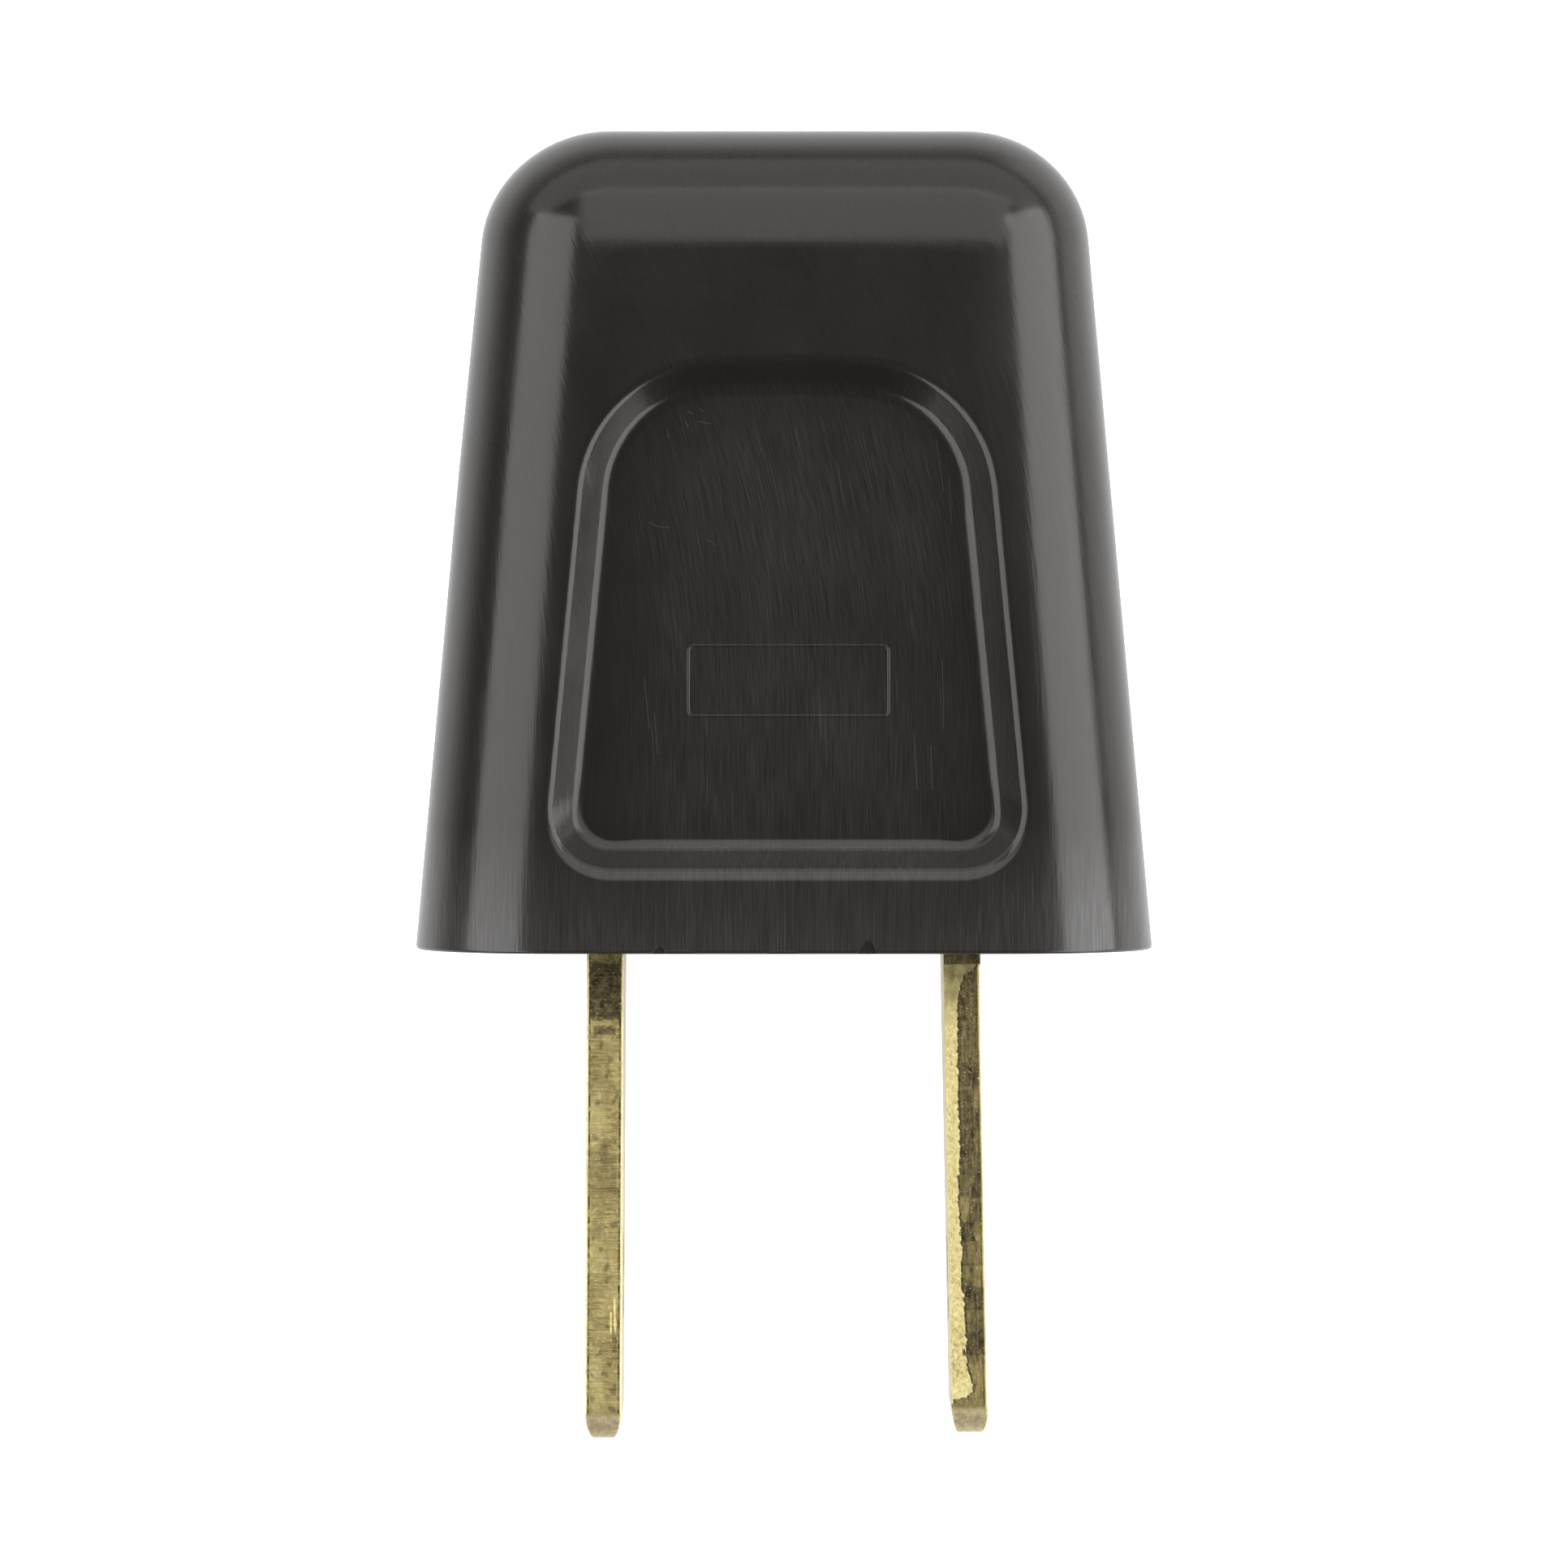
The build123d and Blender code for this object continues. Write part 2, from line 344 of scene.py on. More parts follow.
def make_patch(loop, vertices, normals, faces, facing):
    """The broad face inside a loop of grid vertices: its flat, its recess's wall and its floor."""
    centre = Vector((RECESS_SHIFT, RECESS_MIDDLE))
    recess_depth = RECESS_DEPTH if facing > 0 else BACK_RECESS_DEPTH
    floor_height = HALF_DEPTH - recess_depth
    rim = recess_outline()
    floor = recess_outline(RECESS_SIDE_RUN, RECESS_FOOT_RUN, RECESS_TOP_RUN)
    outer = [Vector((vertices[i].x, vertices[i].y)) for i in loop]
    rim_at = [ray_hit(rim, centre, p) for p in outer]
    floor_at = [ray_hit(floor, centre, p) for p in outer]
    count = len(loop)
    rings = [list(loop)]

    def add_ring(points):
        first = len(vertices)
        for point, normal in points:
            vertices.append(Vector((point.x, point.y, point.z * facing)))
            normals.append(Vector((normal.x, normal.y, normal.z * facing)))
        rings.append(list(range(first, first + len(points))))

    profiles = []
    inward = []
    for i in range(count):
        ray = floor_at[i] - rim_at[i]
        tangent = (rim_at[(i + 1) % count] - rim_at[i - 1]).normalized()
        square = Vector((-tangent.y, tangent.x))
        if square.dot(ray) < 0:
            square = -square
        lean = square.dot(ray.normalized())
        foot_share = max(0.0, square.y) ** 2
        rim_round = RIM_ROUND + (RIM_ROUND_FOOT - RIM_ROUND) * foot_share
        floor_round = FLOOR_ROUND + (FLOOR_ROUND_FOOT - FLOOR_ROUND) * foot_share
        profile = wall_profile(ray.length * lean, recess_depth, rim_round, floor_round)
        profiles.append([(g / lean, depth, angle) for g, depth, angle in profile])
        inward.append((ray.normalized(), square))
    first_at = [rim_at[i] + inward[i][0] * profiles[i][0][0] for i in range(count)]
    for ring in range(1, PATCH_RINGS):
        share = 1 - (1 - ring / PATCH_RINGS) ** 1.5
        points = []
        for i in range(count):
            p = outer[i].lerp(first_at[i], share)
            points.append((Vector((p.x, p.y, front_height(p.x, p.y))), front_normal(p.x, p.y)))
        add_ring(points)
    for step in range(len(profiles[0])):
        points = []
        for i in range(count):
            ray, square = inward[i]
            g, depth, angle = profiles[i][step]
            p = rim_at[i] + ray * g
            sunk = HALF_DEPTH - depth if step > ROUND_STEPS else front_height(p.x, p.y) - depth
            normal = Vector((square.x * sin(angle), square.y * sin(angle), cos(angle)))
            if step == 0:
                normal = front_normal(p.x, p.y)
            points.append((Vector((p.x, p.y, sunk)), normal))
        add_ring(points)
    last_at = [rim_at[i] + inward[i][0] * profiles[i][-1][0] for i in range(count)]
    flat = Vector((0, 0, 1))
    for share in FLOOR_RINGS:
        ring = [centre.lerp(p, share) for p in last_at]
        add_ring([(Vector((p.x, p.y, floor_height)), flat) for p in ring])
    vertices.append(Vector((centre.x, centre.y, floor_height * facing)))
    normals.append(flat * facing)
    middle = len(vertices) - 1
    for ring, following in zip(rings, rings[1:]):
        for i in range(count):
            j = (i + 1) % count
            faces.append((ring[i], ring[j], following[j], following[i]))
    for i in range(count):
        faces.append((rings[-1][i], rings[-1][(i + 1) % count], middle))


def make_skin():
    """The closed outside of the shell, with both recesses, and the true normal at each vertex."""
    stations, front, back = make_stations()
    rows, low, high = make_rows()
    count = len(stations)
    vertices = []
    normals = []
    faces = []
    grid = {}

    def inside(row, station):
        within = any(first < station < last for first, last in (front, back))
        return low < row < high and within

    for row, y in enumerate(rows):
        for index, station in enumerate(stations):
            if not inside(row, index):
                grid[row, index] = len(vertices)
                vertices.append(skin_point(station, y))
                normals.append(skin_normal(station, y))
    for row in range(len(rows) - 1):
        for index in range(count):
            in_patch = any(first <= index < last for first, last in (front, back))
            if low <= row < high and in_patch:
                continue
            following = (index + 1) % count
            corners = ((row, index), (row, following), (row + 1, following), (row + 1, index))
            faces.append([grid[corner] for corner in corners])
    for (first, last), facing in ((front, 1), (back, -1)):
        loop = [grid[low, i] for i in range(first, last)]
        loop += [grid[row, last] for row in range(low, high)]
        loop += [grid[high, i] for i in range(last, first, -1)]
        loop += [grid[row, first] for row in range(high, low, -1)]
        make_patch(loop, vertices, normals, faces, facing)
    faces.append([grid[0, i] for i in range(count)])
    faces.append([grid[len(rows) - 1, i] for i in range(count)])
    return vertices, normals, faces


def round_outline(half_x, half_z, radius, centre_x=0.0, steps=8):
    """A rounded rectangle as a list of x and z pairs."""
    points = []
    for quarter, (sx, sz) in enumerate(((1, 1), (-1, 1), (-1, -1), (1, -1))):
        for step in range(steps + 1):
            angle = pi / 2 * (quarter + step / steps)
            x = centre_x + sx * (half_x - radius) + radius * cos(angle)
            points.append((x, sz * (half_z - radius) + radius * sin(angle)))
    return points


def ring_faces(levels, size, closed=False):
    """Faces between rings of points, with a cap at each end unless the last ring meets the first."""
    faces = []
    for level in range(levels if closed else levels - 1):
        base = level * size
        following = (level + 1) % levels * size
        for i in range(size):
            j = (i + 1) % size
            faces.append((base + i, base + j, following + j, following + i))
    if not closed:
        faces.append(tuple(range(size)))
        faces.append(tuple(range((levels - 1) * size, levels * size)))
    return faces


def stacked(name, levels):
    """A closed solid through outlines at rising heights."""
    points = [(x, y, z) for y, outline in levels for x, z in outline]
    thing = mesh_object(name, points, ring_faces(len(levels), len(levels[0][1])))
    face_outwards(thing)
    return thing


def face_outwards(thing):
    """Turn every face of a closed mesh outwards."""
    work = bmesh.new()
    work.from_mesh(thing.data)
    bmesh.ops.recalc_face_normals(work, faces=work.faces)
    work.to_mesh(thing.data)
    work.free()


def combine(thing, tool, operation):
    """Cut or join one closed mesh with another, and drop the tool."""
    modifier = thing.modifiers.new("shape", "BOOLEAN")
    modifier.operation = operation
    modifier.solver = "EXACT"
    modifier.object = tool
    bpy.context.view_layer.update()
    evaluated = thing.evaluated_get(bpy.context.evaluated_depsgraph_get())
    mesh = bpy.data.meshes.new_from_object(evaluated)
    thing.modifiers.clear()
    thing.data = mesh
    bpy.data.objects.remove(tool)


SMOOTH_ANGLE = radians(32)


def shade(thing, known_points=(), known_normals=()):
    """Smooth shading with the true normals where they are known, and by angle elsewhere."""
    mesh = thing.data
    tree = kdtree.KDTree(max(len(known_points), 1))
    for index, point in enumerate(known_points):
        tree.insert(Vector(point) * MM, index)
    tree.balance()
    around = {}
    for polygon in mesh.polygons:
        for vertex in polygon.vertices:
            around.setdefault(vertex, []).append(polygon)
    known = {}
    if known_points:
        for vertex in mesh.vertices:
            _, index, distance = tree.find(vertex.co)
            if distance < 1e-7:
                known[vertex.index] = known_normals[index]
    limit = cos(SMOOTH_ANGLE)
    loops = [None] * len(mesh.loops)
    for polygon in mesh.polygons:
        polygon.use_smooth = True
        face_normal = polygon.normal.copy()
        for loop in polygon.loop_indices:
            vertex = mesh.loops[loop].vertex_index
            normal = known.get(vertex)
            if normal is None or normal.dot(face_normal) < limit:
                normal = Vector((0, 0, 0))
                for other in around[vertex]:
                    if other.normal.dot(face_normal) > limit:
                        normal += other.normal * other.area
            loops[loop] = normal.normalized()
    mesh.normals_split_custom_set(loops)


# The raised line round the place of the lettering, which stays bare
FRAME_X = (-3.4, 3.72)
FRAME_Y = (8.43, 10.93)
FRAME_CORNER = 0.22
FRAME_SECTION = (
    (0.047, -0.05), (0.047, 0.0), (0.02, 0.02), (-0.02, 0.02), (-0.047, 0.0), (-0.047, -0.05),
)
# Worn places on the front edge of the rim: place, half width and height, for dents and for shallow scoops
RIM_DENTS = ((-4.43, 0.3, 0.34), (2.96, 0.38, 0.6))
RIM_SCOOPS = ((-6.25, 0.85, 0.13), (-3.75, 1.2, 0.15), (-0.05, 1.05, 0.14), (5.4, 0.5, 0.08))


def make_raised_line():
    """A closed ring along the frame's line, standing a little out of the recess's floor."""
    middle_x = sum(FRAME_X) / 2
    middle_y = sum(FRAME_Y) / 2
    half_x = (FRAME_X[1] - FRAME_X[0]) / 2
    half_y = (FRAME_Y[1] - FRAME_Y[0]) / 2
    points = []
    for grow, rise in FRAME_SECTION:
        outline = round_outline(half_x + grow, half_y + grow, FRAME_CORNER + grow, middle_x, 6)
        points += [(x, y + middle_y, HALF_DEPTH - RECESS_DEPTH + rise) for x, y in outline]
    levels = len(FRAME_SECTION)
    ring = mesh_object("raised_line", points, ring_faces(levels, len(points) // levels, closed=True))
    face_outwards(ring)
    return ring


def make_ball(place, half_sizes):
    """A closed ellipsoid."""
    work = bmesh.new()
    bmesh.ops.create_icosphere(work, subdivisions=3, radius=1.0)
    mesh = bpy.data.meshes.new("ball")
    work.to_mesh(mesh)
    work.free()
    grown = Matrix.Diagonal((*[half * MM for half in half_sizes], 1))
    mesh.transform(Matrix.Translation(Vector(place) * MM) @ grown)
    return add_object("ball", mesh)


def wear_rim(shell):
    """Cut the dents and scoops out of the front edge of the rim."""
    for x, half, tall in RIM_DENTS:
        levels = []
        for y, share in ((-0.2, 1.25), (0.0, 1.0), (tall * 0.55, 0.5), (tall, 0.06)):
            lean = x + 0.12 * half * y / tall
            outline = round_outline(half * share, 0.32 * share, 0.05 * share, lean, 3)
            levels.append((y, [(px, pz + HALF_DEPTH + 0.06) for px, pz in outline]))
        combine(shell, stacked("dent", levels), "DIFFERENCE")
    for x, half, tall in RIM_SCOOPS:
        combine(shell, make_ball((x, -0.03, HALF_DEPTH + 0.05), (half, tall + 0.03, 0.15)), "DIFFERENCE")


def make_shell():
    """The shell as seen: its outside, its mouth, its side hollows and its cord slot."""
    vertices, normals, faces = make_skin()
    shell = mesh_object("shell_moulding", vertices, faces)
    face_outwards(shell)
    combine(shell, make_raised_line(), "UNION")
    mouth_half = MOUTH_WIDTH / 2
    lead = MOUTH_LEAD_IN
    flared = round_outline(mouth_half + lead, CAVITY_DEPTH / 2 + lead, MOUTH_CORNER + lead)
    straight = round_outline(mouth_half, CAVITY_DEPTH / 2, MOUTH_CORNER)
    levels = [(-1, flared), (0, flared), (lead, straight), (CAVITY_TOP, straight)]
    combine(shell, stacked("mouth", levels), "DIFFERENCE")
    slot = []
    straight = round_outline(SLOT_WIDTH / 2, SLOT_HEIGHT / 2, SLOT_HEIGHT / 2)
    slot.append((CAVITY_TOP - 1, straight))
    for step in range(7):
        angle = pi / 2 * step / 6
        grown = SLOT_EDGE * (1 - cos(angle))
        outline = round_outline(SLOT_WIDTH / 2 + grown, SLOT_HEIGHT / 2 + grown, SLOT_HEIGHT / 2 + grown)
        slot.append((HEIGHT - SLOT_EDGE + SLOT_EDGE * sin(angle), outline))
    slot.append((HEIGHT + 1, slot[-1][1]))
    combine(shell, stacked("slot", slot), "DIFFERENCE")
    rib_outer = mouth_half + GUIDE_RIB
    hollow_top = CAVITY_TOP - CROWN_FILLET
    for side in (-1, 1):
        levels = []
        for y in (-1, hollow_top):
            wall = RIM_WIDTH / 2 - SIDE_WALL - SIDE_TAPER * y
            half = (wall - rib_outer) / 2
            centre = side * (wall + rib_outer) / 2
            levels.append((y, round_outline(half, CAVITY_DEPTH / 2, 0.2, centre, 4)))
        combine(shell, stacked("hollow", levels), "DIFFERENCE")
    wear_rim(shell)
    shade(shell, vertices, normals)
    return shell


# Blades: each is a stack of rounded rectangles along its length, with worn sheared edges that carry
# painted highlights and shade

EDGE_COLUMNS = 36
SIDE_COLUMNS = 8
ARC_STEPS = 3
EDGE_ROUND = 0.07
ROW_PITCH = 0.05
BLADE_CORNER = 1.3
TAIL_TOP = 15.4
EAR_HEIGHT = 1.8
EAR_HALF = 4.45
SHOULDER_REACH = 0.46
SHOULDER_HEIGHT = 2.0
HOLE_RADIUS = 1.6
HOLE_REACH = 11.9
HOLE_STEPS = 64
SPUR_PLACE = 9.5
SPUR_REACH = 4.3
STEP_GAP = 0.02
# Half thickness of a tip against the distance from its end
TIP_SHAPE = {
    "narrow_blade": (
        (0, 0.3), (0.03, 0.38), (0.1, 0.44), (0.23, 0.51), (0.4, 0.57), (0.62, 0.62), (0.95, 0.67),
    ),
    "wide_blade": (
        (0, 0.38), (0.03, 0.45), (0.1, 0.5), (0.25, 0.56), (0.45, 0.61), (0.7, 0.65), (0.95, 0.67),
    ),
}
# Where the burnished zone of the wide blade's edge ends: distance from the rim, share of the thickness
SHEAR_LINE = (
    (0.4, 0.97), (0.55, 0.86), (0.85, 0.54), (1.2, 0.44), (1.7, 0.37), (2.1, 0.35), (4.0, 0.33),
    (5.7, 0.33), (7.2, 0.35), (8.4, 0.28), (9.1, 0.29), (9.8, 0.31), (10.9, 0.36), (11.2, 0.32),
    (12.0, 0.31), (12.3, 0.38), (12.8, 0.38), (13.7, 0.42), (14.3, 0.41), (14.8, 0.43), (15.4, 0.54),
    (15.75, 0.57), (15.95, 0.4), (16.05, 0.0), (17.5, 0.0),
)


def between(table, value):
    """Straight-line interpolation in a table of pairs."""
    if value <= table[0][0]:
        return table[0][1]
    for (first, low), (second, high) in zip(table, table[1:]):
        if value <= second:
            return low + (high - low) * (value - first) / (second - first)
    return table[-1][1]


def ramp(value, start, end):
    """0 at start, 1 at end, smooth between."""
    share = min(max((value - start) / (end - start), 0), 1)
    return share * share * (3 - 2 * share)


def wave(x, y, seed=0.0):
    """Smooth noise between about -1 and 1."""
    return noise.noise(Vector((x, y, seed)))


def band(value, rise, full, fall, end):
    """0 up to rise, 1 from full to fall, and 0 again from end on."""
    return ramp(value, rise, full) * (1 - ramp(value, fall, end))


def spot(distance, half, end=1):
    """1 in the middle of a mark and 0 at its half width."""
    return ramp(1 - distance / half, 0, end)


def held(value, low, high):
    return min(max(value, low), high)


# Marks on the edges as bands: across the narrow blade, then in millimetres below the rim
DOTTED_LINE = (0.74, 0.79, 0.84, 0.88)
NEAR_RIM_BAND = (0.0, 0.08, 0.3, 0.5)
BLOCK = (2.68, 2.72, 3.0, 3.05)
BLOCK_FOOT = (2.98, 3.03, 3.1, 3.2)
WINDOW = (7.0, 7.3, 8.5, 8.9)
LONG_NICK = (12.3, 12.5, 13.5, 13.8)
SHORT_NICK = (12.9, 13.0, 13.6, 13.8)
LOW_MARKS = (13.3, 13.6, 15.2, 15.5)
BLOCKS_PER_MM = 1.25
# Brightness of a painted highlight line and darkness of a black one, where 1 is burnished, or tarnished or
# in painted shade, all over
EDGE_HIGHLIGHT = 1.22
BLACK = 1.3


def narrow_wear_and_painted_light(u, down):
    """How bright, how dark and how deep the narrow blade's edge is; u runs from -1 to 1 across it."""

    def at(across, along, seed):
        return wave(u * across, down * along, seed)

    edge = abs(u)
    # Painted highlight: a thin bright line along each long side of the edge, as if its rounded corners
    # caught the light
    edge_highlight_line = ramp(edge, 0.87, 0.91)
    dotted = 0.5 + 0.9 * at(2, 5, 4) + 0.5 * at(1, 14, 14)
    dark_line = band(edge, *DOTTED_LINE) * held(dotted * 1.3, 0.3, 1.2)
    ragged = 0.09 * at(0, 5, 21) + 0.05 * at(4, 13, 22)
    patch = ramp(down + ragged, 0.3, 0.5) * (1 - ramp(down + ragged * 1.5, 2.36, 2.5))
    patch *= 1 - ramp(edge + ragged, 0.8, 0.9)
    patch *= 1.08 + 0.55 * at(3, 2.4, 9) + 0.4 * at(7, 9, 19)
    # A mottled darker band along the first half millimetre below the rim
    first = band(down, *NEAR_RIM_BAND) * (0.4 + 0.5 * at(3, 6, 29))
    block = 0.88 * band(down + ragged / 3, *BLOCK)
    block *= ramp(u + ragged, -0.66, -0.56) * (1 - ramp(u - ragged, 0.5, 0.62))
    block *= 0.85 + 0.4 * at(4, 6, 23)
    block = max(block, 0.5 * band(down, *BLOCK_FOOT) * (1 - ramp(u, -0.5, -0.2)))
    worn = ramp(at(1.2, 0.6, 2), -0.25, 0.5) * 0.3
    worn += 0.25 * ramp(at(5, 7, 24), 0.1, 0.5)
    window = band(down, *WINDOW) * (1 - ramp(u, 0.6, 0.72))
    grime = 0.55 * ramp(at(2.5, 3.2, 25), 0.22, 0.5)
    nick = spot(abs(u - 0.6 - 0.05 * (down - 13)), 0.06) * band(down, *LONG_NICK)
    nick = min(nick + spot(abs(u - 0.4), 0.045) * band(down, *SHORT_NICK), 1)
    bright = max(EDGE_HIGHLIGHT * edge_highlight_line, worn * (1 - held(patch, 0, 1)), 1.15 * nick)
    dark = max(dark_line, min(patch, 1), first, block, 0.35 * window, grime) * (1 - nick)
    dark *= 1 - 0.7 * edge_highlight_line
    depth = 0.014 * dark_line + 0.008 * at(1.5, 9, 6) + 0.01 * block + 0.012
    depth += 0.006 * window + 0.006 * at(6, 12, 26) + 0.012 * nick
    return bright, held(dark, 0, BLACK), max(depth, 0) * (1 - edge_highlight_line)


def block_tone(number, seed):
    """A fixed tone between 0 and 1 for each block along a torn edge."""
    return 0.5 + 0.5 * held(2.2 * wave(number * 3.7 + 0.5, seed * 5.1 + 0.3, 31), -1, 1)


def torn_blocks(u, down, share):
    """How dark a torn edge's blocks and scratches are; share runs from 0 at the border to 1."""

    def at(across, along, seed):
        return wave(u * across, down * along, seed)

    place = down * BLOCKS_PER_MM + 0.15 * at(0, 1, 33)
    number = place // 1
    in_one_tone = share < 0.45 + 0.35 * block_tone(number, 2) or block_tone(number, 3) < 0.5
    tone = block_tone(number, 1) if in_one_tone else block_tone(number + 0.5, 4)
    seam = 1 - ramp(min(place - number, number + 1 - place), 0.02, 0.06)
    scratches = 0.35 * at(9, 1.2, 34) + 0.25 * at(14, 6, 35)
    blocks = 0.12 + tone + 0.5 * seam * block_tone(number, 6) + scratches
    early = 1 - ramp(down, 3.0, 8.0)
    return blocks * (1 - 0.7 * early) + 0.7 * early * (0.86 + 1.2 * scratches)


def wide_wear_and_painted_light(u, down):
    """The same for the wide blade, whose edge is burnished on the left and torn on the right."""

    def at(across, along, seed):
        return wave(u * across, down * along, seed)

    across = (u + 1) / 2
    line = between(SHEAR_LINE, down) + 0.03 * at(0, 2.4, 3)
    line += 0.045 * at(0, 5.5, 5) + 0.03 * at(0, 13, 15)
    torn = ramp(across, line - 0.012, line + 0.012) * ramp(down, 0.44, 0.5)
    # Painted highlight: a thin bright line along each long side of the edge, near white on the right and
    # burnished on the left
    right_highlight_line = ramp(across, 0.905, 0.935)
    left_highlight_line = 1 - ramp(across, 0.02, 0.05)
    blocks = torn_blocks(u, down, (across - line) / max(0.9 - line, 0.05))
    dark = torn * (1 - right_highlight_line) * held(blocks, 0.18, 1) * (1 - 0.65 * ramp(down, 14.7, 14.85))
    border = spot(abs(across - line - 0.025), 0.045, 0.6) * torn * (1.15 + 0.4 * at(0, 8, 36))
    inner = spot(abs(across - 0.885), 0.03) * torn * (1.0 + 0.4 * wave(1, down * 5, 41))
    # Painted shade: the edge's first half millimetre below the rim is darkened as if in the body's shadow,
    # and loses its brightness
    shoulder = 1 - ramp(down, 0.44, 0.48)
    dark = max(dark, border, inner, shoulder * (0.75 + 0.25 * ramp(across, 0.5, 0.8)))
    # Darker and browner towards the rim over the burnished zone, fading out 3 mm below it
    darker_near_rim = (1 - ramp(down, 0.7, 3.0)) * (0.5 + 0.35 * at(3, 2.2, 37)) * (1 - torn)
    pits = 0.34 * ramp(at(10, 9, 38), 0.12, 0.5) * (1 - torn)
    low_marks = 0.45 * band(down, *LOW_MARKS) * ramp(at(4, 7, 39), 0.0, 0.45)
    notch = spot(hypot((across - 0.36) / 0.06, (down - 14.35) / 0.17), 1, 0.6)
    dark = max(dark, darker_near_rim, pits * (1 - left_highlight_line), low_marks * (1 - torn), notch)
    bright = max((1 - torn) * (1 - 0.6 * darker_near_rim), EDGE_HIGHLIGHT * right_highlight_line, left_highlight_line) * (1 - shoulder)
    depth = 0.04 * torn * (1 - right_highlight_line) + 0.008 * at(6, 4, 7) * torn
    depth += (0.005 * at(9, 9, 10) + 0.004 * at(17, 17, 40)) * (1 - torn)
    depth = max(depth + 0.03 * notch + 0.01, 0) * (1 - max(right_highlight_line, left_highlight_line))
    return bright * (1 - notch), held(dark, 0, BLACK), depth


WEAR_AND_PAINTED_LIGHT = {"narrow_blade": narrow_wear_and_painted_light, "wide_blade": wide_wear_and_painted_light}
# Wear where no marks are drawn: above the rim on the front edge, and near the rim on the back one
PLAIN_WEAR = (0.45, 0, 0)
BACK_PLAIN_WEAR = (0.3, 0.4, 0)
BACK_SHIFT = 0.37
# The coined tip: distances from the end of a blade
COINED = (0.75, 1.05)


def wear_and_painted_light_at(node, down, z, u):
    """The wear marks, painted highlights and painted shade of a point of a blade: u is None on its rolled
    faces, and z is negative on its back.
    """
    if u is None:
        return PLAIN_WEAR
    if z < 0:
        return WEAR_AND_PAINTED_LIGHT[node](-u, down + BACK_SHIFT) if down > 0.5 else BACK_PLAIN_WEAR
    return WEAR_AND_PAINTED_LIGHT[node](u, down) if down > -0.5 else PLAIN_WEAR


def blade_rows(node):
    """The distances below the rim of a blade's rows, with its half width at each."""
    length = (BLADE_LENGTH[node] - 0.003) / cos(radians(BLADE_LEAN[node]))
    half = BLADE_WIDTH[node] / 2
    ear_foot = -TAIL_TOP + EAR_HEIGHT
    rows = [(-TAIL_TOP, EAR_HALF), (ear_foot - STEP_GAP, EAR_HALF), (ear_foot, half)]
    start = 0.0
    if node == "wide_blade":
        shoulder_top = SHOULDER_REACH - SHOULDER_HEIGHT
        rows += [(shoulder_top, half), (shoulder_top + STEP_GAP, EAR_HALF)]
        rows += [(SHOULDER_REACH * step / 6, EAR_HALF) for step in range(6)]
        rows += [(SHOULDER_REACH - STEP_GAP, EAR_HALF)]
        start = SHOULDER_REACH
    steps = round((length - BLADE_CORNER - start) / ROW_PITCH)
    for step in range(steps):
        rows.append((start + (length - BLADE_CORNER - start) * step / steps, half))
    tip_steps = 40
    for step in range(tip_steps + 1):
        turn = pi / 2 * step / tip_steps
        down = length - BLADE_CORNER * (1 - sin(turn))
        rows.append((down, half - BLADE_CORNER * (1 - cos(turn))))
    return rows, length


def blade_ring(thickness, width):
    """A rounded rectangle's points, each with its place across a sheared edge, or None on a side."""
    radius = min(EDGE_ROUND, thickness * 0.8)
    flat_x = thickness - radius
    flat_z = width - radius
    ring = []
    for facing in (1, -1):
        for step in range(EDGE_COLUMNS + 1):
            x = facing * flat_x * (2 * step / EDGE_COLUMNS - 1)
            ring.append((x, facing * width, x / thickness))
        for step in range(1, ARC_STEPS):
            angle = pi / 2 * step / ARC_STEPS
            x = facing * (flat_x + radius * sin(angle))
            ring.append((x, facing * (flat_z + radius * cos(angle)), facing))
        for step in range(SIDE_COLUMNS + 1):
            ring.append((facing * thickness, facing * flat_z * (1 - 2 * step / SIDE_COLUMNS), None))
        for step in range(1, ARC_STEPS):
            angle = pi / 2 * step / ARC_STEPS
            x = facing * (flat_x + radius * cos(angle))
            ring.append((x, -facing * (flat_z + radius * sin(angle)), facing))
    return ring


